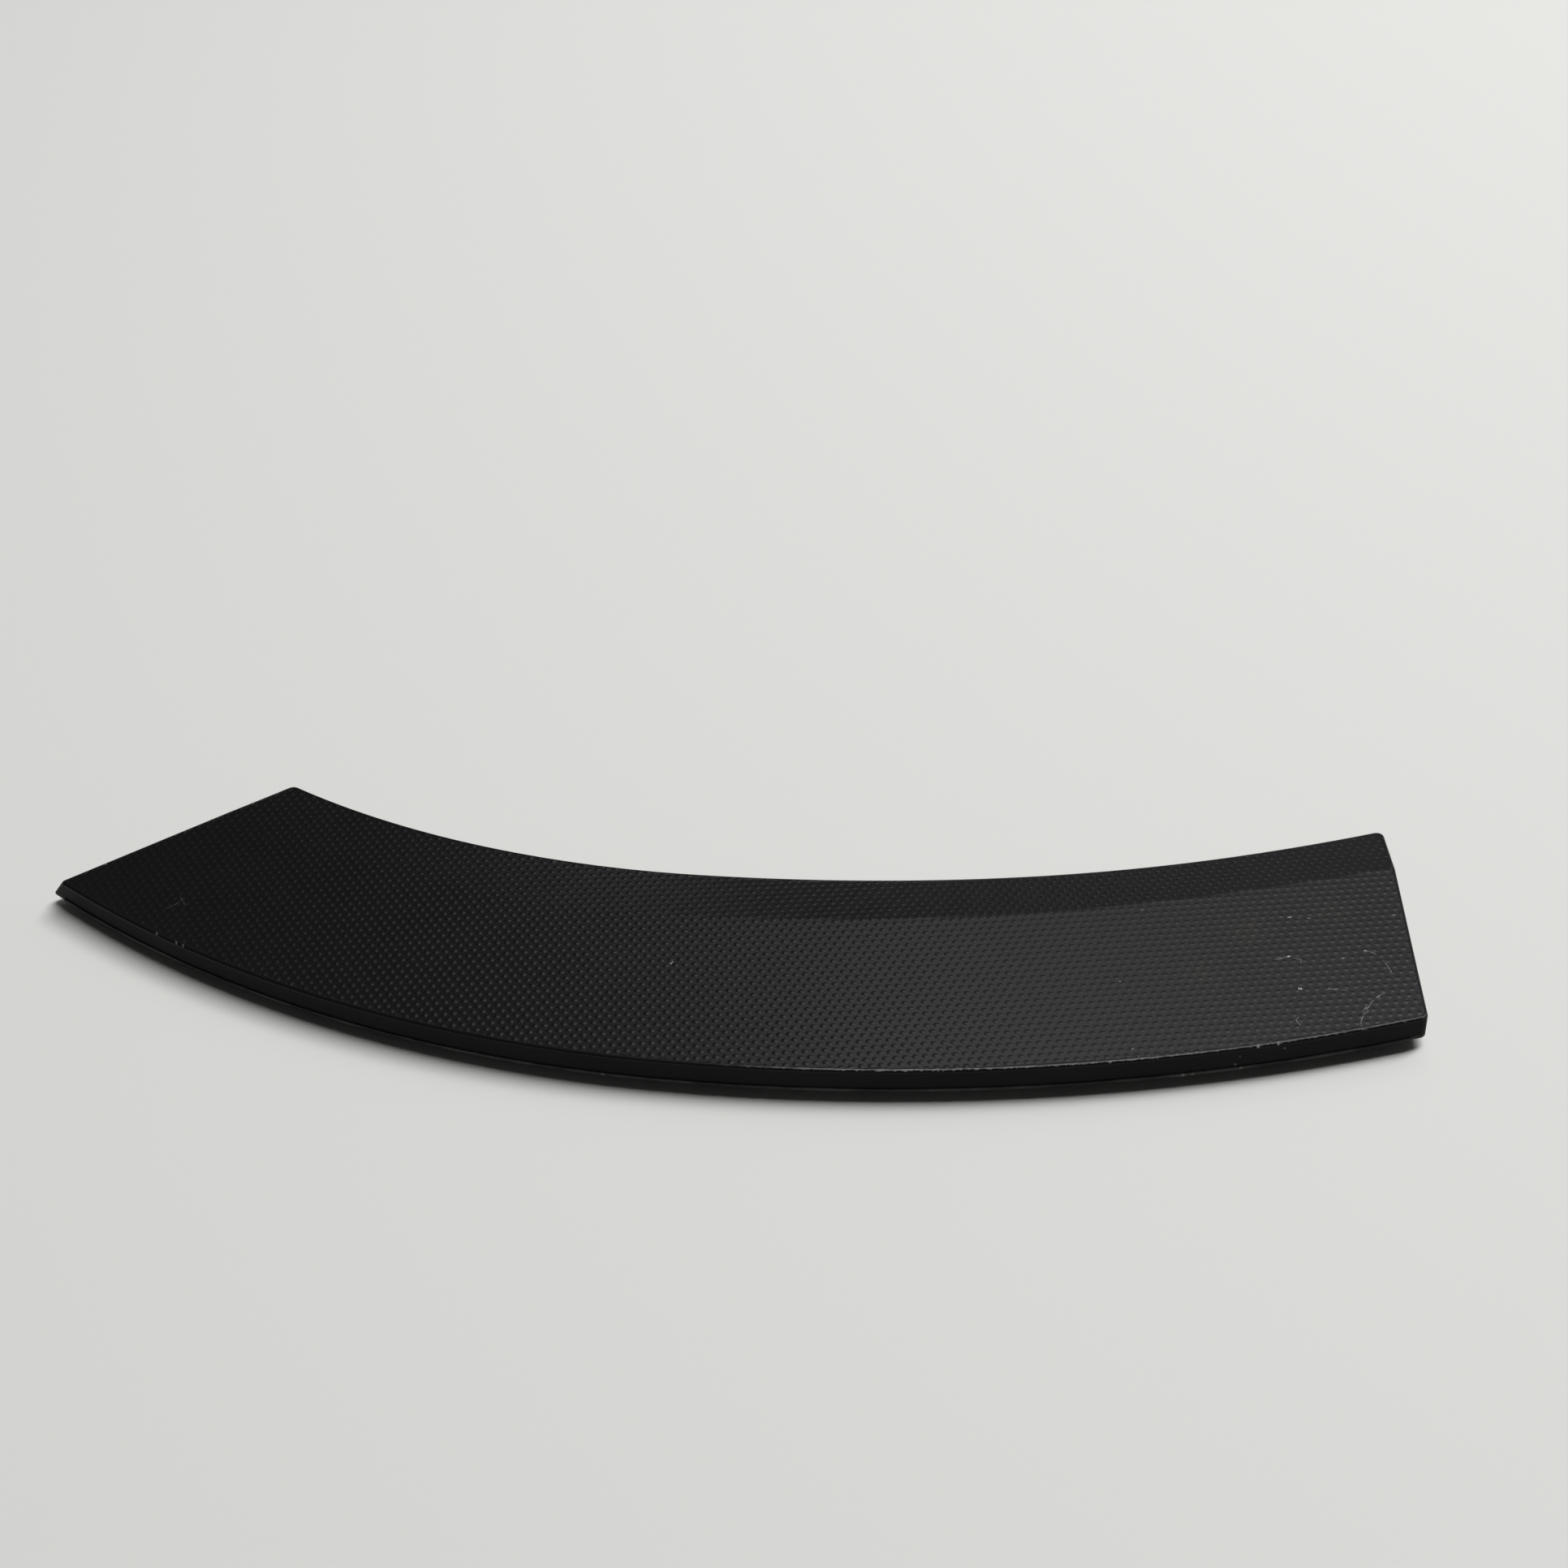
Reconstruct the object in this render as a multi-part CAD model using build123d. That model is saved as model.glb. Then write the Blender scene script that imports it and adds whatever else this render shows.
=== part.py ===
from build123d import *
import math
import os
from collections import namedtuple

# Sizes are in millimetres and angles in degrees. The trim is drawn with its face in the plane Z = 0, its
# back below the face and the wheel on the +Y side, and is lifted onto its seat at the end.
# A place on it is given by two lengths: along the wheel edge, from the joint where that edge's two arcs
# meet, and outward from the wheel edge, away from the wheel.

# The concave edge, next to the wheel: a tighter arc on the left runs into a flatter one on the right
wheel_heading = -9.5
wheel_left_radius = 255.0
wheel_right_radius = 505.0
wheel_left_length = 120.0
wheel_right_length = 183.5

# The convex edge, against the body panel, made of two arcs in the same way
band_width = 70.2
body_heading = -12.3
body_left_radius = 345.0
body_right_radius = 465.0
body_left_length = 178.3
body_right_length = 190.0

# The moulded skin and its edges
wall = 2.5
lip_height = 6.6
edge_radius = 0.8
corner_radius = 2.0
tip_radius = 1.0
end_slant = 39.0
bead_width = 0.35
bead_height = 0.8

# The bevel that turns the face down beside the wheel edge, full on the right and faded out on the left
bevel_width = 18.0
bevel_drop = 4.0
bevel_least_drop = 0.6
bevel_fade_start = -60.0
bevel_fade_end = 140.0
bevel_spans = 8

# The seat: the plane below the lip's foot that the return flange and the clip towers stand on
seat_gap = 3.5
flange_corner_radius = 2.5

# Stiffening ribs on the back: one across the band at each end of a bay, and a spine along it
rib_bays = 8
rib_end_margin = 28.0
rib_thickness = 1.8
rib_height = 2.5
rib_clearance = 2.0
spine_inset = 42.0

# Clip towers on the back: a plate on two legs, with a keyhole that opens towards the wheel
tower_bays = (1, 3, 5, 7)
tower_inset = 27.0
tower_length = 18.0
tower_width = 14.0
tower_leg = 2.0
tower_plate = 2.0
keyhole_diameter = 8.0
keyhole_slot = 5.0
keyhole_offset = 2.0

# Locating pins on the back, with a tapered tip that stays clear of the seat
pin_bays = (2, 6)
pin_inset = 27.0
pin_diameter = 5.0
pin_clearance = 0.6
pin_tip_length = 1.5
pin_tip_diameter = 3.0

# How far a cutting shape runs past what it cuts, and how deep a piece of the back roots in the skin
overrun = 12.0
root = wall / 2

# What follows from the seat
seat_depth = lip_height + seat_gap
tower_gap = seat_depth - wall - tower_plate
pin_length = seat_depth - wall - pin_tip_length - pin_clearance

HANG = (Align.CENTER, Align.CENTER, Align.MAX)
LongEdge = namedtuple("LongEdge", "joint heading left_radius right_radius left_length right_length")


def place(edge, along, outward=0.0, height=0.0, radius=None):
    """The location at an arc length from an edge's joint: X runs along the edge and Y to the wheel."""
    if radius is None:
        radius = edge.left_radius if along < 0 else edge.right_radius
    start = math.radians(edge.heading)
    centre = Vector(*edge.joint) + Vector(-math.sin(start), math.cos(start)) * radius
    heading = start + along / radius
    spot = centre + Vector(math.sin(heading), -math.cos(heading)) * (radius + outward)
    return Location((spot.X, spot.Y, height), (0, 0, math.degrees(heading)))


wheel_edge = LongEdge(
    (0.0, 0.0), wheel_heading, wheel_left_radius, wheel_right_radius, wheel_left_length, wheel_right_length
)
body_joint = place(wheel_edge, 0.0, band_width).position
body_edge = LongEdge(
    (body_joint.X, body_joint.Y), body_heading, body_left_radius, body_right_radius,
    body_left_length, body_right_length
)


def arc_along(edge, radius, start, end, outward):
    """One arc of an edge, moved outward, between two arc lengths from its joint."""
    stops = (start, (start + end) / 2, end)
    return ThreePointArc(*(place(edge, stop, outward, radius=radius).position for stop in stops))


def both_arcs(edge, outward, left_length, right_length):
    """The two tangent arcs of an edge, moved outward, from their left end to their right end."""
    return [
        arc_along(edge, edge.left_radius, -left_length, 0.0, outward),
        arc_along(edge, edge.right_radius, 0.0, right_length, outward),
    ]


def region_between(outer_arcs, inner_arcs):
    """The flat region between two runs of arcs, closed by a straight line at each end."""
    left = Line(inner_arcs[0] @ 0, outer_arcs[0] @ 0)
    right = Line(outer_arcs[1] @ 1, inner_arcs[1] @ 1)
    return Sketch() + make_face(outer_arcs + inner_arcs + [left, right])


def strip(edge, inner, outer, right_trim=0.0):
    """The flat strip between two distances outward from an edge, short of its right end by the trim."""
    lengths = (edge.left_length, edge.right_length - right_trim)
    return region_between(both_arcs(edge, outer, *lengths), both_arcs(edge, inner, *lengths))


def face_outline():
    """The outline of the face, running on past its left end and round at its right corners."""
    outline = region_between(
        both_arcs(body_edge, 0.0, body_left_length + overrun, body_right_length),
        both_arcs(wheel_edge, 0.0, wheel_left_length + overrun, wheel_right_length),
    )
    return fillet(outline.vertices().sort_by(Axis.X)[-2:], corner_radius)


def left_end_plane():
    """The plane of the left end, which leans so that the lip's foot stands out past the face."""
    far = place(wheel_edge, -wheel_left_length).position
    near = place(body_edge, -body_left_length).position
    along_end = (far - near).normalized()
    outward = Vector(-along_end.Y, along_end.X)
    lean = math.radians(end_slant)
    normal = outward * math.cos(lean) + Vector(0, 0, 1) * math.sin(lean)
    return Plane(origin=near, x_dir=along_end, z_dir=normal)


def bevel_depth(along):
    """How far the bevel has dropped at the wheel edge: an ease from its least to its full depth."""
    share = (along - bevel_fade_start) / (bevel_fade_end - bevel_fade_start)
    share = min(max(share, 0.0), 1.0)
    ease = share * share * (3 - 2 * share)
    return bevel_least_drop + (bevel_drop - bevel_least_drop) * ease


def bevel_cutter():
    """What the bevel takes off the flat face: wedges across the band, lofted along the wheel edge."""
    start = -wheel_left_length - bevel_width - overrun
    step = (wheel_right_length + overrun - start) / bevel_spans
    sections = []
    for number in range(bevel_spans + 1):
        along = start + number * step
        slope = bevel_depth(along) / bevel_width
        corners = (
            (bevel_width + overrun, overrun * slope),
            (-overrun, -(bevel_width + overrun) * slope),
            (-overrun, overrun),
            (bevel_width + overrun, overrun),
        )
        points = [place(wheel_edge, along, outward, height).position for outward, height in corners]
        sections.append(make_face(Polyline(*points, close=True)))
    return loft(sections)


def inside(outline, end_plane, depth, top=0.0):
    """The form of the face and its lip, a depth inside its sides and left end, down from a top plane."""
    block = Pos(0, 0, top) * extrude(offset(outline, -depth), -lip_height)
    return split(block, bisect_by=end_plane.offset(-depth), keep=Keep.BOTTOM)


def outer_form(outline, end_plane, cutter):
    """The solid outer form of the face and its lip, with round corners and a soft edge round the face."""
    form = split(extrude(outline, -lip_height), bisect_by=end_plane, keep=Keep.BOTTOM)
    for corner, radius in ((0, tip_radius), (-1, corner_radius)):
        end_face = form.faces().filter_by(GeomType.PLANE).sort_by(Axis(end_plane.origin, end_plane.z_dir))[-1]
        slanted = end_face.edges().sort_by(SortBy.LENGTH)[:2].sort_by(Axis.Y)
        form = fillet(slanted[corner], radius)
    form -= cutter
    flat = form.faces().filter_by(GeomType.PLANE).sort_by(Axis.Z)[-1]
    bevel = form.faces().filter_by(GeomType.BSPLINE).sort_by(SortBy.AREA)[-1]
    rim = [edge for edge in flat.edges() if not any(edge.is_same(other) for other in bevel.edges())]
    rim += [edge for edge in bevel.edges() if not any(edge.is_same(other) for other in flat.edges())]
    return fillet(rim, edge_radius)


def parting_bead():
    """The fine bead that the mould leaves along the foot of the lip."""
    foot = strip(body_edge, -root, bead_width, 2 * corner_radius)
    return Pos(0, 0, -lip_height) * extrude(foot, bead_height)


def return_flange():
    """The flange along the wheel edge, down to the seat and round at its lower corners."""
    plan = Pos(0, 0, root - lip_height) * strip(wheel_edge, 0.0, wall, corner_radius)
    flange = extrude(plan, -root - seat_gap)
    foot = flange.faces().sort_by(Axis.Z)[0]
    return fillet(foot.edges().sort_by(SortBy.LENGTH)[:2], flange_corner_radius)


def rib_stop(number):
    """The place along the wheel edge of a cross rib, or of the middle of a bay at a half number."""
    pitch = (wheel_left_length + wheel_right_length - rib_end_margin) / rib_bays
    return number * pitch - wheel_left_length


def ribs(outline, end_plane):
    """The cross ribs and the spine under the flat of the face, rooted in the skin and in the lip."""
    half = rib_thickness / 2
    inner = bevel_width + rib_clearance
    plan = strip(wheel_edge, spine_inset - half, spine_inset + half)
    blade = Pos(0, -band_width / 2, 0) * Rectangle(rib_thickness, band_width)
    for number in range(rib_bays + 1):
        plan += place(wheel_edge, rib_stop(number), inner) * blade
    blanks = Pos(0, 0, root - wall) * extrude(plan, -root - rib_height)
    return blanks & inside(outline, end_plane, root)


def clip_tower():
    """One clip tower, hanging from the back of the face: a plate on two legs, with its keyhole."""
    tower = Pos(0, 0, root) * Box(tower_length, tower_width, root + tower_gap + tower_plate, align=HANG)
    tower -= Box(tower_length - 2 * tower_leg, tower_width, tower_gap, align=HANG)
    entry = Cylinder(keyhole_diameter / 2, tower_plate, align=HANG)
    slot = Pos(0, tower_width / 2, 0) * Box(keyhole_slot, tower_width, tower_plate, align=HANG)
    return tower - Pos(0, -keyhole_offset, -tower_gap) * (entry + slot)


def locating_pin():
    """One locating pin, hanging from the back of the face."""
    shank = Pos(0, 0, root) * Cylinder(pin_diameter / 2, root + pin_length, align=HANG)
    tip = Pos(0, 0, -pin_length) * Cone(pin_tip_diameter / 2, pin_diameter / 2, pin_tip_length, align=HANG)
    return shank + tip


def moulding():
    """The whole moulding, with its face in the plane Z = 0."""
    outline = face_outline()
    end_plane = left_end_plane()
    cutter = bevel_cutter()
    hollow = inside(outline, end_plane, wall, -wall) - Pos(0, 0, -wall) * cutter
    trim = outer_form(outline, end_plane, cutter) - hollow
    trim += ribs(outline, end_plane)
    trim += return_flange()
    trim += parting_bead()
    for bay in tower_bays:
        trim += place(wheel_edge, rib_stop(bay + 0.5), tower_inset, -wall) * clip_tower()
    for bay in pin_bays:
        trim += place(wheel_edge, rib_stop(bay + 0.5), pin_inset, -wall) * locating_pin()
    return trim


def arch_trim():
    """The moulding as it stands on its seat, with its origin at the bottom centre of its box."""
    trim = moulding()
    middle = trim.bounding_box().center()
    return Pos(-middle.X, -middle.Y, seat_depth) * trim


os.makedirs("parts", exist_ok=True)
export_step(arch_trim(), "parts/arch_trim.step")
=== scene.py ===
import math
from collections import namedtuple

import bmesh
import bpy
import numpy as np
from mathutils import Matrix, Vector
from mathutils.bvhtree import BVHTree
from mathutils.geometry import delaunay_2d_cdt


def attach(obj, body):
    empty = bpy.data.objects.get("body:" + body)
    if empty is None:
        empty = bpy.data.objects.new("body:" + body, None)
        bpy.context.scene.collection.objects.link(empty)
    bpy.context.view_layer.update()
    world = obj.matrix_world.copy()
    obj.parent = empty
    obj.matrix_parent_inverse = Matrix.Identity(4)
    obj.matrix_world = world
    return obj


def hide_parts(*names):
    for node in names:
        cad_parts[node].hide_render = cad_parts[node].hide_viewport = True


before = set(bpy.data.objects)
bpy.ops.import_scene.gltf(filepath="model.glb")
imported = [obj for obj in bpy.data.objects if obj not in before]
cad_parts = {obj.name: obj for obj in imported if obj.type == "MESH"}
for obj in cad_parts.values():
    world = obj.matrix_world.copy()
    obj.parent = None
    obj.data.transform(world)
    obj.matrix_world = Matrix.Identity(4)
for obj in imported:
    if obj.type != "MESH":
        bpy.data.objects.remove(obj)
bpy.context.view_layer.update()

MM = 0.001
NODE = "arch_trim"

# The camera, with the image taken as a square of this many pixels
IMAGE_SIZE = 1932
CAMERA_PLACE = Vector((21.54, -496.98, 453.80)) * MM
CAMERA_AZIMUTH = -0.15
CAMERA_ELEVATION = 39.12
CAMERA_ROLL = -3.69
CAMERA_LENS = 59.25
CAMERA_SENSOR = 36.0

# The grain of the face: low diamond pips in staggered rows
PIP_PITCH = 2.4 * MM
ROW_PITCH = PIP_PITCH * math.sqrt(3) / 2
PIP_HALF_WIDTH = 0.95 * MM
PIP_HALF_LENGTH = 1.45 * MM
PIP_HEIGHT = 0.09 * MM
PIP_CORE = 0.15
PIP_CORNERS = 8

# How the grain meets the rim of the face
RIM_CLEARANCE = 0.12 * MM
RIM_STEP = 1.2 * MM
RIM_SHARE = 0.35

WELD = 0.001 * MM
SPOT_DIGITS = 7
CAD_NORMAL = "cad_normal"

# The lights: a key from above on the right, a bank of panels that the face mirrors, brighter upwards, and a
# weak fill from the front. Distances and sizes are in metres. A panel has the azimuth and elevation of its
# middle, its height and its radiance, and all panels spread over the same angle.
KEY_AZIMUTH = 64.0
KEY_ELEVATION = 67.0
KEY_DISTANCE = 4.0
KEY_WIDTH = 1.1
KEY_HEIGHT = 3.2
KEY_RADIANCE = 13.6
BANK_DISTANCE = 2.0
BANK_SPREAD = 76.0
BANK = {
    "low panel": (44.0, 18.0, 0.92, 0.13),
    "lower middle panel": (44.0, 34.5, 0.245, 0.36),
    "upper middle panel": (31.0, 43.0, 0.35, 0.60),
    "high panel": (36.0, 56.5, 0.60, 1.4),
}
FILL_AZIMUTH = 165.0
FILL_ELEVATION = 22.0
FILL_DISTANCE = 2.0
FILL_WIDTH = 3.4
FILL_HEIGHT = 0.8
FILL_RADIANCE = 0.07
WORLD_LEVEL = 0.03

# The floor, with half its side in metres
FLOOR_REACH = 4.0
FLOOR_TONE = (0.74, 0.74, 0.72)
FLOOR_ROUGHNESS = 0.9
FLOOR_GLOSS = 0.1

# The finishes of the black plastic, with how strongly the fine relief shows in each, and how far they vary
Finish = namedtuple("Finish", "tone gloss roughness relief")
SMOOTH_FINISH = Finish((0.0130, 0.0130, 0.0132), 0.03, 0.45, 0.1)
RIM_FINISH = Finish((0.0060, 0.0060, 0.0062), 0.15, 0.36, 0.2)
GRAIN_FINISH = Finish((0.0056, 0.0056, 0.0058), 0.36, 0.25, 0.3)
TONE_SWING = 0.25
ROUGHNESS_SWING = 0.04
CLOUD_SCALE = 0.05
FINE_SCALE = 4.0
RELIEF_DEPTH = 0.02 * MM

# How the wear marks and the painted pip glints look: ragged, broken up, weaker between the pips and full in
# the core of each mark
WEAR_AND_GLINT_TONE = (0.50, 0.50, 0.49)
LAYER_ROUGHNESS = 0.25
MARK_STIR = 0.5
MARK_STIR_SCALE = 1.2
MARK_BREAK_SCALE = 1.6
MARK_BREAK_LEAST = 0.2
MARK_BETWEEN_PIPS = 0.3
MARK_CORE = 0.4

# The rim's pale line on the lip's side, partly wear and partly a painted highlight where the rounding of
# the rim turns towards the light: where it sets in and eases off, over how many millimetres, and how far
# the surface has to lean to that side to take the pale line and the small marks
RIM_WEAR_AND_HIGHLIGHT_START = (880, 1303)
RIM_WEAR_AND_HIGHLIGHT_END = (1420, 1298)
RIM_WEAR_AND_HIGHLIGHT_FADE = 30.0
RIM_WEAR_AND_HIGHLIGHT_LEAST = 0.55
RIM_WEAR_AND_HIGHLIGHT_LEAN = (0.03, 0.12)
RIM_RAGGED_SCALE = 0.8
RIM_PATCH_SCALE = 0.3

# The bead at the foot of the lip, in millimetres above the face, and how strongly the painted highlight
# along its top shows
BEAD_TOP = -5.75
BEAD_FOOT = -6.65
BEAD_HIGHLIGHT = 0.25
BEAD_LEAST_SHARE = 0.3
BEAD_PATCH_SCALE = 0.1

# Small marks on the rim, the lip and its bead: the pixel on the rim above each, its height above the face
# and its width in millimetres, and its strength
# The pale tone of these marks, of the rim's pale line, partly a painted highlight, and of the bead's
# painted highlight
EDGE_TONE = (0.20, 0.20, 0.195)
EDGE_MARKS = {
    "rim nick": ((1550, 1287), -0.2, 0.9, 1.5),
    "rim nick, further on": ((1575, 1284), -0.2, 0.8, 1.2),
    "nick under the rim": ((1583, 1283), -1.8, 0.8, 0.6),
    "lip dot": ((1523, 1290), -5.0, 0.7, 0.8),
    "lip scratch": ((1528, 1289), -2.6, 0.6, 0.4),
    "bead nick": ((1458, 1297), -6.2, 1.2, 1.0),
    "bead nick, beside it": ((1470, 1296), -6.2, 1.0, 0.8),
    "bead nick, on the right": ((1530, 1289), -6.2, 1.0, 0.9),
    "bead nick, on the left": ((740, 1291), -6.2, 1.0, 0.7),
    "left rim nick": ((193, 1150), -0.2, 0.7, 0.5),
    "left rim nick, second": ((217, 1162), -0.2, 0.7, 0.5),
    "left rim nick, third": ((225, 1166), -0.2, 0.7, 0.4),
}

# Faint dirt on the face: the middle of each smudge in the image, its width in millimetres and its strength
DIRT_TONE = (0.030, 0.024, 0.012)
DIRT_CLOUD_SCALE = 0.4
DIRT = {
    "smudge under the crease": ((1540, 1145), 16.0, 0.30),
    "smudge in the middle": ((1480, 1200), 14.0, 0.25),
    "smudge by the right end": ((1640, 1125), 12.0, 0.25),
}

# Wear on the face, and a row of painted glints on pips near the crease: the image pixels that each mark
# runs through, its width in millimetres and its strength
WEAR_AND_GLINTS = {
    # The dot row paints glints of light on a row of pips, spaced at the grain's pitch; these dots are not
    # wear
    "painted glint row, first": (((1576, 1130), (1578, 1130)), 0.4, 0.5),
    "painted glint row, second": (((1587, 1130), (1590, 1130)), 0.45, 2.0),
    "painted glint row, third": (((1600, 1131), (1601, 1131)), 0.4, 1.0),
    "painted glint row, fourth": (((1611, 1131), (1614, 1131)), 0.45, 1.6),
    "short scratch": (((1570, 1182), (1580, 1180), (1590, 1178)), 0.35, 1.6),
    "blob after the scratch": (((1594, 1180), (1603, 1182)), 0.6, 0.5),
    "drop below the blob": (((1602, 1182), (1603, 1186)), 0.4, 0.5),
    "faint dash": (((1652, 1180), (1659, 1180)), 0.35, 0.45),
    "white dot": (((1601, 1218), (1603, 1218)), 0.75, 4.0),
    "dash": (((1637, 1218), (1648, 1219)), 0.32, 1.0),
    "dash, further on": (((1651, 1219), (1660, 1220)), 0.32, 0.7),
    "curved scratch": (((1681, 1171), (1688, 1172), (1695, 1175)), 0.32, 1.0),
    "curved scratch, further on": (((1705, 1184), (1710, 1190), (1714, 1197)), 0.32, 1.0),
    "dot past the curve": (((1719, 1206), (1720, 1206)), 0.4, 0.7),
    "tangle, top": (((1707, 1223), (1700, 1226), (1695, 1230)), 0.35, 0.8),
    "tangle, middle": (((1692, 1232), (1687, 1240), (1681, 1243)), 0.4, 1.0),
    "tangle, knot": (((1683, 1240), (1686, 1246), (1680, 1249)), 0.35, 0.8),
    "tangle, foot": (((1680, 1251), (1677, 1258), (1678, 1264)), 0.35, 0.8),
    "squiggle": (((1600, 1253), (1597, 1257), (1602, 1262)), 0.35, 0.8),
    "dash at the right end": (((1717, 1127), (1721, 1127)), 0.4, 0.6),
    "spot at the right end": (((1733, 1231), (1734, 1231)), 0.45, 0.7),
    "left scuff": (((205, 1119), (213, 1116), (225, 1108)), 0.5, 0.12),
    "left scuff, across": (((222, 1105), (228, 1115)), 0.5, 0.12),
    "middle speck": (((826, 1187), (829, 1185)), 0.55, 1.5),
    "right speck": (((1379, 1209), (1381, 1209)), 0.45, 0.8),
    "crease speck": (((1407, 1121), (1409, 1121)), 0.45, 1.0),
    "near speck": (((1395, 1292), (1397, 1292)), 0.45, 0.8),
}

# Material slots of the dressed trim
PLAIN, RIM, GRAIN = range(3)

# Directions in the frame of the face, which lies level
ALONG = (1.0, 0.0, 0.0)
LIP_SIDE = (0.0, -1.0, 0.0)
UP = (0.0, 0.0, 1.0)


def place_camera():
    """The camera, at the photograph's place and angle."""
    azimuth = math.radians(CAMERA_AZIMUTH)
    elevation = math.radians(CAMERA_ELEVATION)
    forward = Vector((
        math.sin(azimuth) * math.cos(elevation),
        math.cos(azimuth) * math.cos(elevation),
        -math.sin(elevation),
    ))
    level = Vector((math.cos(azimuth), -math.sin(azimuth), 0.0))
    right = Matrix.Rotation(math.radians(-CAMERA_ROLL), 3, forward) @ level
    up = right.cross(forward)
    data = bpy.data.cameras.new("camera")
    data.lens = CAMERA_LENS
    data.sensor_width = CAMERA_SENSOR
    camera = bpy.data.objects.new("camera", data)
    turn = Matrix((right, up, -forward)).transposed()
    camera.matrix_world = Matrix.Translation(CAMERA_PLACE) @ turn.to_4x4()
    bpy.context.scene.collection.objects.link(camera)
    bpy.context.scene.camera = camera
    return camera


def upward_area(face):
    """How much of a face's area looks up."""
    return face.normal.z * face.calc_area()


def island(start, seen):
    """The faces that are joined to a face by shared corners."""
    found = [start]
    seen.add(start)
    for face in found:
        for edge in face.edges:
            for other in edge.link_faces:
                if other not in seen:
                    seen.add(other)
                    found.append(other)
    return found


def face_islands(shell):
    """The islands of the face, its flat and the bevel beside the wheel edge, and all that touch them."""
    seen = set()
    islands = [island(face, seen) for face in shell.faces if face not in seen]
    islands.sort(key=lambda faces: sum(map(upward_area, faces)))
    *others, bevel, flat = islands
    spots = {vert.co.to_tuple(SPOT_DIGITS) for face in flat + bevel for vert in face.verts}
    rim = []
    for faces in others:
        if any(vert.co.to_tuple(SPOT_DIGITS) in spots for face in faces for vert in face.verts):
            rim += faces
    return flat, bevel, rim


def face_axes(flat):
    """The frame of the flat face: X along the trim, Z out of the face, its origin at the flat's middle."""
    normal = sum((face.normal * face.calc_area() for face in flat), Vector()).normalized()
    across = normal.cross(Vector((1.0, 0.0, 0.0))).normalized()
    along = across.cross(normal)
    corners = [vert.co for face in flat for vert in face.verts]
    middle = sum(corners, Vector()) / len(corners)
    return Matrix.Translation(middle) @ Matrix((along, across, normal)).transposed().to_4x4()


def pip_level(plan):
    """How high the grain stands at plan places on the face: 0 between pips, 1 on top of a pip."""
    best = np.zeros(len(plan))
    row = np.floor(plan[:, 1] / ROW_PITCH)
    for step in (0, 1):
        shift = (row + step) % 2 * PIP_PITCH / 2
        column = np.round((plan[:, 0] - shift) / PIP_PITCH)
        aside = np.abs(plan[:, 0] - shift - column * PIP_PITCH) / PIP_HALF_WIDTH
        ahead = np.abs(plan[:, 1] - (row + step) * ROW_PITCH) / PIP_HALF_LENGTH
        reach = (1.0 - aside - ahead) / (1.0 - PIP_CORE)
        best = np.maximum(best, np.clip(reach, 0.0, 1.0))
    return best


def pip_places(low, high):
    """The plan points that draw every pip of a region: its rings and its middle."""
    points = []
    first_row = math.floor(low[1] / ROW_PITCH)
    last_row = math.ceil(high[1] / ROW_PITCH)
    for row in range(first_row, last_row + 1):
        shift = row % 2 * PIP_PITCH / 2
        first = math.floor((low[0] - shift) / PIP_PITCH)
        last = math.ceil((high[0] - shift) / PIP_PITCH)
        for column in range(first, last + 1):
            points.append((column * PIP_PITCH + shift, row * ROW_PITCH))
    middles = np.array(points)
    drawn = [middles]
    for share in (1.0, PIP_CORE):
        for corner in range(PIP_CORNERS):
            turn = 2 * math.pi * corner / PIP_CORNERS
            aside, ahead = math.cos(turn), math.sin(turn)
            reach = share / (abs(aside) + abs(ahead))
            drawn.append(middles + (aside * reach * PIP_HALF_WIDTH, ahead * reach * PIP_HALF_LENGTH))
    return np.concatenate(drawn)


def inside_by(points, ring, clearance):
    """Which plan points lie inside a closed ring, and clear of it."""
    inside = np.zeros(len(points), bool)
    clear = np.ones(len(points), bool)
    for start, end in zip(ring, np.roll(ring, -1, axis=0)):
        crosses = (start[1] > points[:, 1]) != (end[1] > points[:, 1])
        if start[1] != end[1]:
            meet = start[0] + (points[:, 1] - start[1]) / (end[1] - start[1]) * (end[0] - start[0])
            inside ^= crosses & (points[:, 0] < meet)
        run = end - start
        share = np.clip((points - start) @ run / (run @ run), 0.0, 1.0)
        gap = points - start - share[:, None] * run
        clear &= (gap * gap).sum(axis=1) > clearance * clearance
    return inside & clear


def ring_of(edges):
    """The corners of a closed run of edges, in order."""
    links = {}
    for edge in edges:
        for vert in edge.verts:
            links.setdefault(vert, []).append(edge.other_vert(vert))
    start = next(iter(links))
    ring = [start]
    before, here = start, links[start][0]
    while here is not start:
        ring.append(here)
        onward = [vert for vert in links[here] if vert is not before]
        before, here = here, onward[0]
    return ring


def rim_edges(shell):
    """The edges between the grained face and the rest of the shell."""
    edges = []
    for edge in shell.edges:
        grained = [face for face in edge.link_faces if face.material_index == GRAIN]
        if len(grained) == 1:
            edges.append(edge)
    return edges


def split_long(shell, edges):
    """Cuts the long edges of the rim into short ones, so that the grain can bite into it."""
    for edge in edges:
        cuts = int(edge.calc_length() / RIM_STEP)
        if cuts:
            bmesh.ops.subdivide_edges(shell, edges=[edge], cuts=cuts)


def cad_shell():
    """The CAD node's mesh, with the normal at each corner kept beside it."""
    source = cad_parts[NODE].data
    shell = bmesh.new()
    shell.from_mesh(source)
    shell.normal_update()
    kept = shell.loops.layers.float_vector.new(CAD_NORMAL)
    for face, polygon in zip(shell.faces, source.polygons):
        for corner, number in zip(face.loops, polygon.loop_indices):
            corner[kept] = source.corner_normals[number].vector
    return shell


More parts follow.
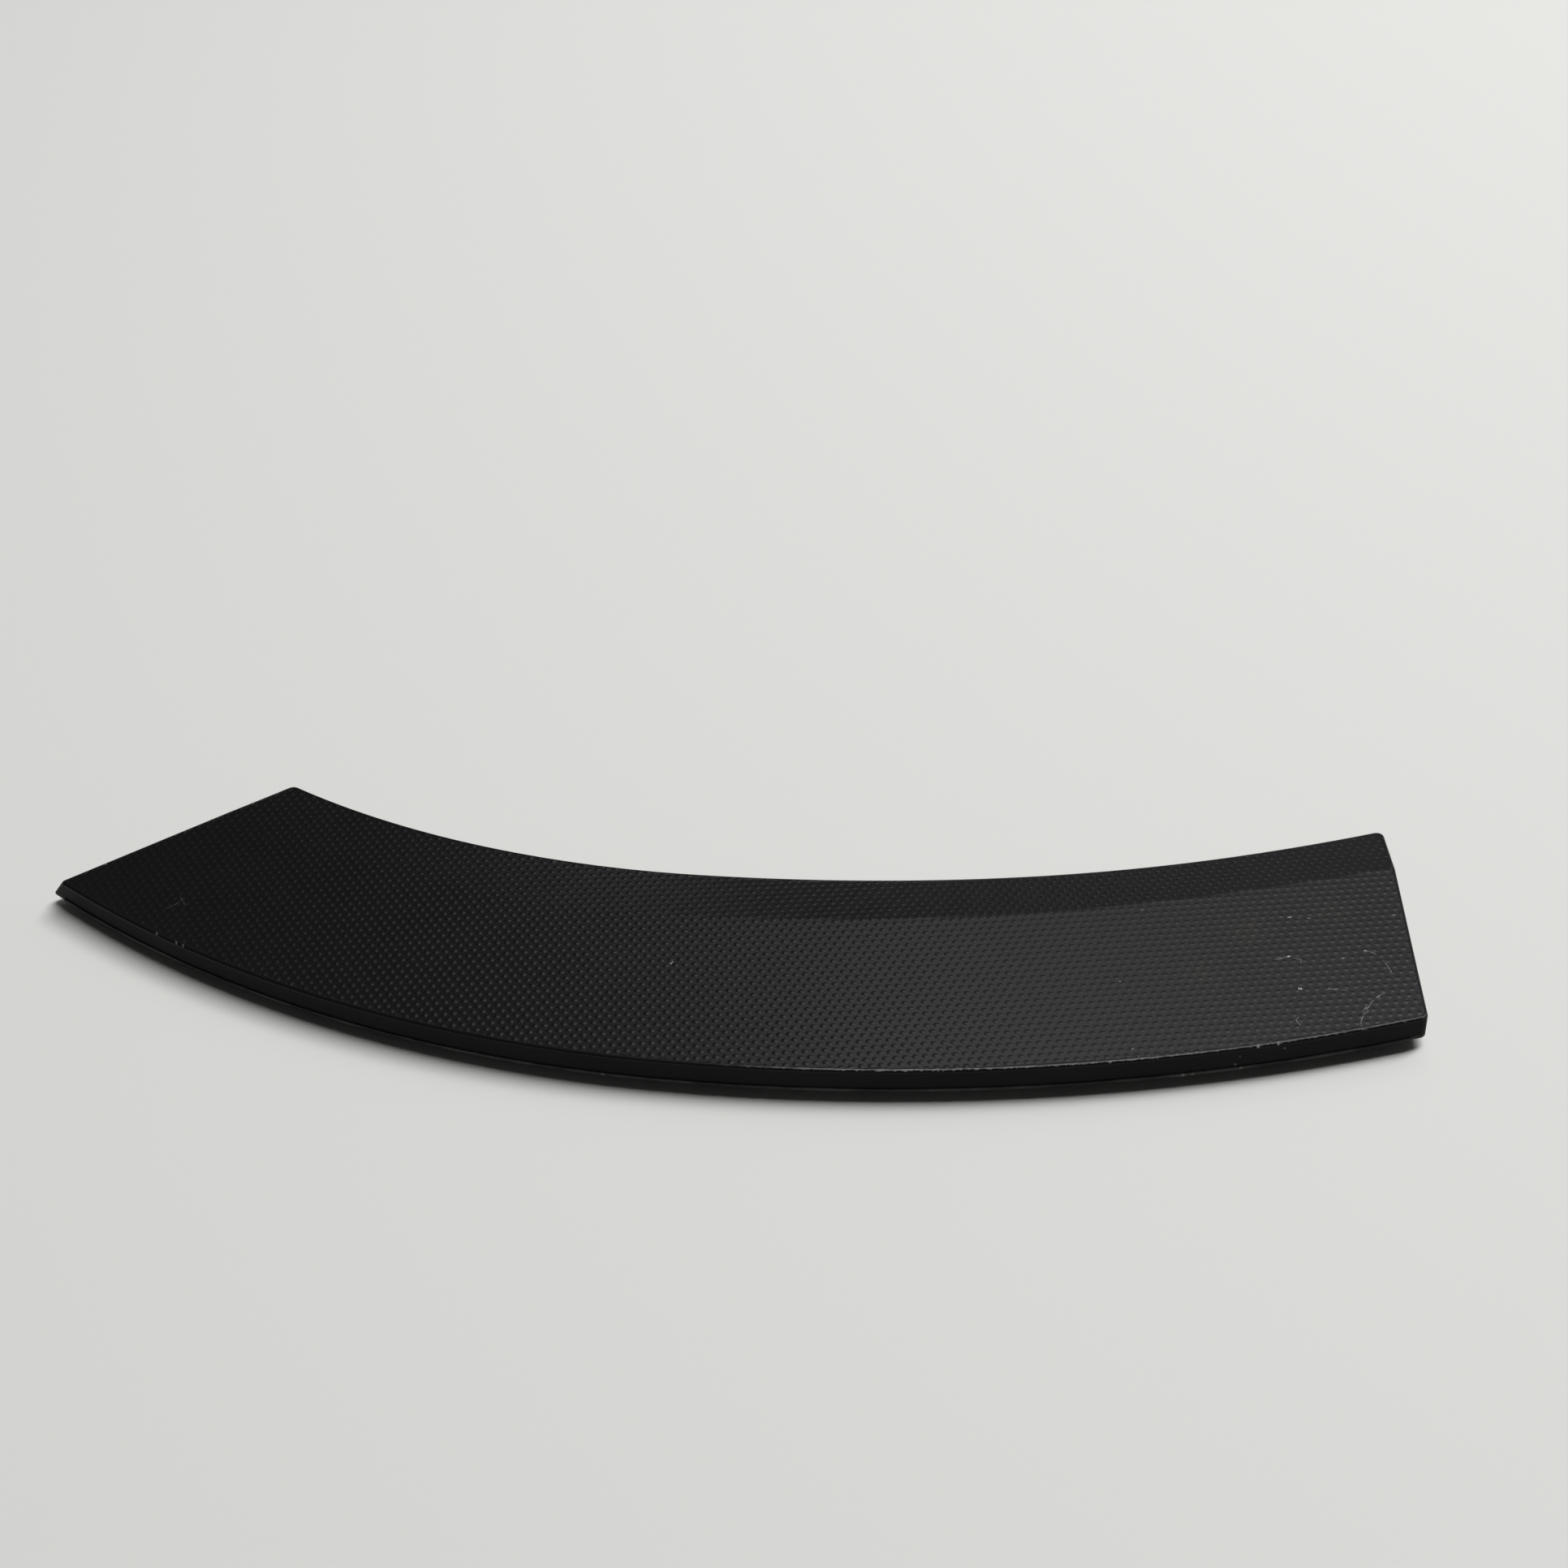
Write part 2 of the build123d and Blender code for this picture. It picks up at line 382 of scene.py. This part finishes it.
def lay_grain(shell, ring, surface, axes):
    """Draws the face inside a ring of the shell: pips over its old surface, down to the rim."""
    to_plan = axes.inverted()
    ring_places = np.array([(to_plan @ vert.co)[:] for vert in ring])
    plan_ring = ring_places[:, :2]
    points = pip_places(plan_ring.min(axis=0), plan_ring.max(axis=0))
    points = points[inside_by(points, plan_ring, RIM_CLEARANCE)]
    drawn = [Vector(point) for point in np.concatenate((plan_ring, points))]
    loop = list(range(len(ring)))
    spots, _, faces, sources, _, _ = delaunay_2d_cdt(drawn, [], [loop], 1, WELD)

    levels = pip_level(np.array([spot[:] for spot in spots]))
    verts = []
    for spot, source, level in zip(spots, sources, levels):
        rim_number = next((number for number in source if number < len(ring)), None)
        sink = (1.0 - level) * PIP_HEIGHT + WELD
        if rim_number is None:
            place, _, _, _ = surface.ray_cast(Vector((*spot, 1.0)), -Vector(UP))
            verts.append(shell.verts.new(axes @ (place - Vector(UP) * sink)))
        else:
            vert = ring[rim_number]
            vert.co -= axes.to_3x3() @ (Vector(UP) * (sink * RIM_SHARE))
            verts.append(vert)
    for corners in faces:
        face = shell.faces.new([verts[corner] for corner in corners])
        face.material_index = GRAIN


def grained_trim():
    """The trim's mesh with its face drawn again, grain and all, inside the same rim."""
    shell = cad_shell()
    flat, bevel, rim = face_islands(shell)
    axes = face_axes(flat)
    to_plan = axes.inverted()
    for face in shell.faces:
        face.material_index = PLAIN
    for face in rim:
        face.material_index = RIM
    for face in flat + bevel:
        face.material_index = GRAIN
    surface = BVHTree.FromPolygons(
        [to_plan @ vert.co for face in flat + bevel for vert in face.verts],
        [(3 * number, 3 * number + 1, 3 * number + 2) for number in range(len(flat + bevel))],
    )
    bmesh.ops.remove_doubles(shell, verts=shell.verts, dist=WELD)
    split_long(shell, rim_edges(shell))
    ring = ring_of(rim_edges(shell))
    old = [face for face in shell.faces if face.material_index == GRAIN]
    bmesh.ops.delete(shell, geom=old, context="FACES")
    lay_grain(shell, ring, surface, axes)
    return shell, axes


def show_trim():
    """The dressed trim as an object in place of its CAD node."""
    shell, axes = grained_trim()
    bmesh.ops.triangulate(shell, faces=[face for face in shell.faces if len(face.verts) > 3])
    bmesh.ops.recalc_face_normals(shell, faces=shell.faces)
    mesh = bpy.data.meshes.new("grained_trim")
    shell.to_mesh(mesh)
    shell.free()
    for face in mesh.polygons:
        face.use_smooth = face.material_index != GRAIN
    kept = [corner.vector.copy() for corner in mesh.attributes[CAD_NORMAL].data]
    mesh.normals_split_custom_set([normal.normalized() for normal in kept])
    mesh.attributes.remove(mesh.attributes[CAD_NORMAL])
    trim = bpy.data.objects.new("grained_trim", mesh)
    bpy.context.scene.collection.objects.link(trim)
    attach(trim, "root")
    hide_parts(NODE)
    return trim, axes


def join(tree, start, end):
    """Links the output of one node to the input of another."""
    tree.links.new(start, end)


def feed(tree, socket, term):
    """Gives an input a constant, or links another node's output to it."""
    if isinstance(term, bpy.types.NodeSocket):
        join(tree, term, socket)
    else:
        socket.default_value = term


def calculate(tree, operation, *terms):
    """The output of a maths node, with each term a number or another node's output."""
    node = tree.nodes.new("ShaderNodeMath")
    node.operation = operation
    for socket, term in zip(node.inputs, terms):
        feed(tree, socket, term)
    return node.outputs["Value"]


def combine(tree, operation, *terms):
    """A vector maths node, with each term a vector or another node's output."""
    node = tree.nodes.new("ShaderNodeVectorMath")
    node.operation = operation
    for socket, term in zip(node.inputs, terms):
        feed(tree, socket, term)
    return node


def reach_along(tree, vector, direction):
    """How far a vector, a node's output, reaches in a direction."""
    return combine(tree, "DOT_PRODUCT", vector, direction).outputs["Value"]


def noise(tree, where, scale, detail):
    """A noise node, laid out at places in millimetres."""
    node = tree.nodes.new("ShaderNodeTexNoise")
    node.inputs["Scale"].default_value = scale
    node.inputs["Detail"].default_value = detail
    join(tree, where, node.inputs["Vector"])
    return node


def opaque(colour):
    """A colour with full cover, as the nodes take it."""
    return (*colour, 1.0)


def spread(tree, value, low, high, least=0.0, most=1.0):
    """A value's range from low to high, laid onto the range from least to most."""
    node = tree.nodes.new("ShaderNodeMapRange")
    node.inputs["From Min"].default_value = low
    node.inputs["From Max"].default_value = high
    node.inputs["To Min"].default_value = least
    node.inputs["To Max"].default_value = most
    join(tree, value, node.inputs["Value"])
    return node.outputs["Result"]


def patches(tree, where, scale, detail, *ranges):
    """The level of a noise at places in millimetres, with its range laid onto another as spread does."""
    return spread(tree, noise(tree, where, scale, detail).outputs["Fac"], *ranges)


def tint(tree, share, low, high):
    """A mix of two colours, each a colour or another node's output."""
    node = tree.nodes.new("ShaderNodeMix")
    node.data_type = "RGBA"
    join(tree, share, node.inputs["Factor"])
    feed(tree, node.inputs["A"], low)
    feed(tree, node.inputs["B"], high)
    return node.outputs["Result"]


def face_place(tree, axes):
    """Where a point lies in the frame of the face, in millimetres."""
    where = tree.nodes.new("ShaderNodeTexCoord")
    mapping = tree.nodes.new("ShaderNodeMapping")
    mapping.vector_type = "TEXTURE"
    mapping.inputs["Location"].default_value = axes.to_translation()
    mapping.inputs["Rotation"].default_value = axes.to_euler()
    mapping.inputs["Scale"].default_value = (MM, MM, MM)
    join(tree, where.outputs["Object"], mapping.inputs["Vector"])
    return mapping.outputs["Vector"]


def mark_group():
    """A node group that tells how strongly a straight mark, from a start along a run, shows at a place."""
    tree = bpy.data.node_groups.new("mark", "ShaderNodeTree")
    for name, kind in (
        ("Place", "NodeSocketVector"), ("Start", "NodeSocketVector"), ("Run", "NodeSocketVector"),
        ("Half Width", "NodeSocketFloat"), ("Strength", "NodeSocketFloat"),
    ):
        tree.interface.new_socket(name, in_out="INPUT", socket_type=kind)
    tree.interface.new_socket("Mark", in_out="OUTPUT", socket_type="NodeSocketFloat")
    given = tree.nodes.new("NodeGroupInput").outputs
    ahead = combine(tree, "SUBTRACT", given["Place"], given["Start"]).outputs["Vector"]
    reach = reach_along(tree, ahead, given["Run"])
    whole = reach_along(tree, given["Run"], given["Run"])
    share = spread(tree, calculate(tree, "DIVIDE", reach, whole), 0.0, 1.0)
    nearest = combine(tree, "SCALE", given["Run"])
    join(tree, share, nearest.inputs["Scale"])
    aside = combine(tree, "SUBTRACT", ahead, nearest.outputs["Vector"]).outputs["Vector"]
    gap = combine(tree, "LENGTH", aside).outputs["Value"]
    level = spread(tree, calculate(tree, "DIVIDE", gap, given["Half Width"]), 1.0, MARK_CORE)
    shown = calculate(tree, "MULTIPLY", level, given["Strength"])
    join(tree, shown, tree.nodes.new("NodeGroupOutput").inputs["Mark"])
    return tree


def on_face(pixel, camera, axes):
    """Where a pixel of the image meets the plane of the face, in millimetres in the frame of the face."""
    turn = camera.matrix_world.to_3x3()
    scale = CAMERA_SENSOR / CAMERA_LENS / IMAGE_SIZE
    aside = (pixel[0] - IMAGE_SIZE / 2) * scale
    up = (IMAGE_SIZE / 2 - pixel[1]) * scale
    ray = turn @ Vector((aside, up, -1.0))
    normal = axes.to_3x3().col[2]
    middle = axes.to_translation()
    depth = (middle - CAMERA_PLACE).dot(normal) / ray.dot(normal)
    spot = axes.inverted() @ (CAMERA_PLACE + ray * depth)
    return Vector((spot.x, spot.y, 0.0)) / MM


def wear_and_glint_mask(tree, where, camera, axes):
    """How strongly the face's marks show at a place: its wear and its painted pip glints, ragged and
    broken, and weaker between the pips.
    """
    group = mark_group()
    stir = noise(tree, where, MARK_STIR_SCALE, 2.0).outputs["Color"]
    stirred = combine(tree, "MULTIPLY_ADD", stir, (MARK_STIR, MARK_STIR, 0.0), where).outputs["Vector"]
    centred = combine(tree, "SUBTRACT", stirred, (MARK_STIR / 2, MARK_STIR / 2, 0.0)).outputs["Vector"]
    level = combine(tree, "MULTIPLY", centred, (1.0, 1.0, 0.0)).outputs["Vector"]
    all_marks = 0.0
    for pixels, width, strength in WEAR_AND_GLINTS.values():
        stops = [on_face(pixel, camera, axes) for pixel in pixels]
        for start, end in zip(stops, stops[1:]):
            node = tree.nodes.new("ShaderNodeGroup")
            node.node_tree = group
            node.inputs["Start"].default_value = start
            node.inputs["Run"].default_value = end - start
            node.inputs["Half Width"].default_value = width / 2
            node.inputs["Strength"].default_value = strength
            join(tree, level, node.inputs["Place"])
            all_marks = calculate(tree, "MAXIMUM", all_marks, node.outputs["Mark"])
    breaks = patches(tree, where, MARK_BREAK_SCALE, 1.0, 0.35, 0.55, MARK_BREAK_LEAST, 1.0)
    height = reach_along(tree, where, UP)
    on_pips = spread(tree, height, -PIP_HEIGHT / MM, 0.0, MARK_BETWEEN_PIPS, 1.0)
    broken = calculate(tree, "MULTIPLY", all_marks, calculate(tree, "MULTIPLY", breaks, on_pips))
    return calculate(tree, "MINIMUM", broken, 1.0)


def lip_side_lean(tree):
    """How far the surface leans to the lip's side at a place."""
    normal = tree.nodes.new("ShaderNodeNewGeometry").outputs["Normal"]
    return reach_along(tree, normal, LIP_SIDE)


def edge_marks(tree, where, camera, axes):
    """How strongly the small marks on the lip's side of the rim, the lip and its bead show at a place."""
    upright = combine(tree, "MULTIPLY", where, (1.0, 0.0, 1.0)).outputs["Vector"]
    marked = 0.0
    for pixel, height, width, strength in EDGE_MARKS.values():
        spot = (on_face(pixel, camera, axes).x, 0.0, height)
        gap = combine(tree, "DISTANCE", upright, spot).outputs["Value"]
        mark = spread(tree, gap, width / 2, width / 4, 0.0, strength)
        marked = calculate(tree, "MAXIMUM", marked, mark)
    shown = calculate(tree, "MULTIPLY", marked, spread(tree, lip_side_lean(tree), *RIM_WEAR_AND_HIGHLIGHT_LEAN))
    return calculate(tree, "MINIMUM", shown, 1.0)


def dirt_mask(tree, where, camera, axes):
    """How dirty the face is at a place: soft, cloudy smudges."""
    level = combine(tree, "MULTIPLY", where, (1.0, 1.0, 0.0)).outputs["Vector"]
    dirty = 0.0
    for pixel, width, strength in DIRT.values():
        gap = combine(tree, "DISTANCE", level, on_face(pixel, camera, axes)).outputs["Value"]
        smudge = spread(tree, gap, width / 2, 0.0, 0.0, strength)
        dirty = calculate(tree, "MAXIMUM", dirty, smudge)
    clouds = patches(tree, where, DIRT_CLOUD_SCALE, 4.0, 0.35, 0.65)
    return calculate(tree, "MULTIPLY", dirty, clouds)


def rim_wear_and_highlight(tree, where, camera, axes):
    """How pale the rim is at a place: a ragged pale line on the lip's side, right of where it sets in,
    partly wear and partly a painted highlight on the rounding that faces the light.
    """
    lean = lip_side_lean(tree)
    along = reach_along(tree, where, ALONG)
    start = on_face(RIM_WEAR_AND_HIGHLIGHT_START, camera, axes).x
    end = on_face(RIM_WEAR_AND_HIGHLIGHT_END, camera, axes).x
    ragged = patches(tree, where, RIM_RAGGED_SCALE, 3.0, 0.3, 0.7, 0.2, 0.85)
    upper = spread(tree, lean, *RIM_WEAR_AND_HIGHLIGHT_LEAN)
    lower = spread(tree, calculate(tree, "SUBTRACT", ragged, lean), 0.0, 0.1)
    patchy = patches(tree, where, RIM_PATCH_SCALE, 3.0, 0.35, 0.6, 0.25, 0.9)
    band = calculate(tree, "MULTIPLY", upper, lower)
    sets_in = spread(tree, along, start, start + RIM_WEAR_AND_HIGHLIGHT_FADE)
    eases = spread(tree, along, end, end + RIM_WEAR_AND_HIGHLIGHT_FADE, 1.0, RIM_WEAR_AND_HIGHLIGHT_LEAST)
    shown = calculate(tree, "MULTIPLY", patchy, calculate(tree, "MULTIPLY", sets_in, eases))
    pale_band = calculate(tree, "MULTIPLY", band, shown)
    return calculate(tree, "MAXIMUM", pale_band, edge_marks(tree, where, camera, axes))


def lip_marks_and_bead_highlight(tree, where, camera, axes):
    """How pale the lip is at a place: a painted highlight along the top of the bead at its foot, and its
    small marks.
    """
    height = reach_along(tree, where, UP)
    below = calculate(tree, "LESS_THAN", height, BEAD_TOP)
    above = calculate(tree, "GREATER_THAN", height, BEAD_FOOT)
    least = BEAD_LEAST_SHARE * BEAD_HIGHLIGHT
    patchy = patches(tree, where, BEAD_PATCH_SCALE, 3.0, 0.4, 0.6, least, BEAD_HIGHLIGHT)
    pale_band = calculate(tree, "MULTIPLY", calculate(tree, "MULTIPLY", below, above), patchy)
    return calculate(tree, "MAXIMUM", pale_band, edge_marks(tree, where, camera, axes))


def plastic(name, finish, camera, axes, *layers):
    """Black moulded plastic in a finish, laid out on the face. A layer has a mask and its tone."""
    material = bpy.data.materials.new(name)
    material.use_nodes = True
    tree = material.node_tree
    shader = tree.nodes["Principled BSDF"]
    shader.inputs["Specular IOR Level"].default_value = finish.gloss
    where = face_place(tree, axes)
    clouds = noise(tree, where, CLOUD_SCALE, 4.0).outputs["Fac"]
    fine = noise(tree, where, FINE_SCALE, 3.0).outputs["Fac"]
    dark = [(1 - TONE_SWING) * level for level in finish.tone]
    light = [(1 + TONE_SWING) * level for level in finish.tone]
    colour = tint(tree, clouds, opaque(dark), opaque(light))
    least = finish.roughness - ROUGHNESS_SWING
    roughness = spread(tree, fine, 0.3, 0.7, least, finish.roughness + ROUGHNESS_SWING)
    for mask, layer_tone in layers:
        share = mask(tree, where, camera, axes)
        colour = tint(tree, share, colour, opaque(layer_tone))
        roughness = calculate(tree, "MULTIPLY_ADD", share, LAYER_ROUGHNESS, roughness)
    join(tree, colour, shader.inputs["Base Color"])
    join(tree, roughness, shader.inputs["Roughness"])
    relief = tree.nodes.new("ShaderNodeBump")
    relief.inputs["Strength"].default_value = finish.relief
    relief.inputs["Distance"].default_value = RELIEF_DEPTH
    join(tree, fine, relief.inputs["Height"])
    join(tree, relief.outputs["Normal"], shader.inputs["Normal"])
    return material


def pale_floor():
    """The plain pale floor that the trim lies on."""
    mesh = bpy.data.meshes.new("floor")
    shape = bmesh.new()
    bmesh.ops.create_grid(shape, x_segments=1, y_segments=1, size=FLOOR_REACH)
    shape.to_mesh(mesh)
    shape.free()
    floor = bpy.data.objects.new("floor", mesh)
    bpy.context.scene.collection.objects.link(floor)
    material = bpy.data.materials.new("floor")
    material.use_nodes = True
    shader = material.node_tree.nodes["Principled BSDF"]
    shader.inputs["Base Color"].default_value = opaque(FLOOR_TONE)
    shader.inputs["Roughness"].default_value = FLOOR_ROUGHNESS
    shader.inputs["Specular IOR Level"].default_value = FLOOR_GLOSS
    mesh.materials.append(material)


def soft_light(name, azimuth, elevation, distance, width, height, radiance):
    """A soft box that looks at the trim from an azimuth, counted from straight behind to the right."""
    data = bpy.data.lights.new(name, "AREA")
    data.shape = "RECTANGLE"
    data.size = width
    data.size_y = height
    data.energy = radiance * math.pi * width * height
    turn = math.radians(azimuth)
    rise = math.radians(elevation)
    spot = Vector((math.sin(turn) * math.cos(rise), math.cos(turn) * math.cos(rise), math.sin(rise)))
    light = bpy.data.objects.new(name, data)
    light.location = spot * distance
    light.rotation_euler = spot.to_track_quat("Z", "Y").to_euler()
    bpy.context.scene.collection.objects.link(light)


def light_trim():
    """The key, the bank of panels and the fill."""
    soft_light("key", KEY_AZIMUTH, KEY_ELEVATION, KEY_DISTANCE, KEY_WIDTH, KEY_HEIGHT, KEY_RADIANCE)
    for name, (azimuth, elevation, height, radiance) in BANK.items():
        reach = BANK_DISTANCE * math.cos(math.radians(elevation))
        width = 2 * reach * math.tan(math.radians(BANK_SPREAD / 2))
        soft_light(name, azimuth, elevation, BANK_DISTANCE, width, height, radiance)
    soft_light("fill", FILL_AZIMUTH, FILL_ELEVATION, FILL_DISTANCE, FILL_WIDTH, FILL_HEIGHT, FILL_RADIANCE)


def dim_world():
    """A dim even light from all around."""
    world = bpy.data.worlds.new("room")
    world.use_nodes = True
    world.node_tree.nodes["Background"].inputs["Color"].default_value = (1.0, 1.0, 1.0, 1.0)
    world.node_tree.nodes["Background"].inputs["Strength"].default_value = WORLD_LEVEL
    bpy.context.scene.world = world


camera = place_camera()
trim, axes = show_trim()
for name, finish, *layers in (
    # The lip's bead takes a painted highlight along its top
    ("smooth_plastic", SMOOTH_FINISH, (lip_marks_and_bead_highlight, EDGE_TONE)),
    # The rim's pale line is partly wear and partly a painted highlight
    ("rim_plastic", RIM_FINISH, (rim_wear_and_highlight, EDGE_TONE)),
    # The face's wear layer also paints glints on a row of pips
    ("grained_plastic", GRAIN_FINISH, (dirt_mask, DIRT_TONE), (wear_and_glint_mask, WEAR_AND_GLINT_TONE)),
):
    trim.data.materials.append(plastic(name, finish, camera, axes, *layers))
pale_floor()
light_trim()
dim_world()
bpy.context.scene.view_settings.view_transform = "Standard"
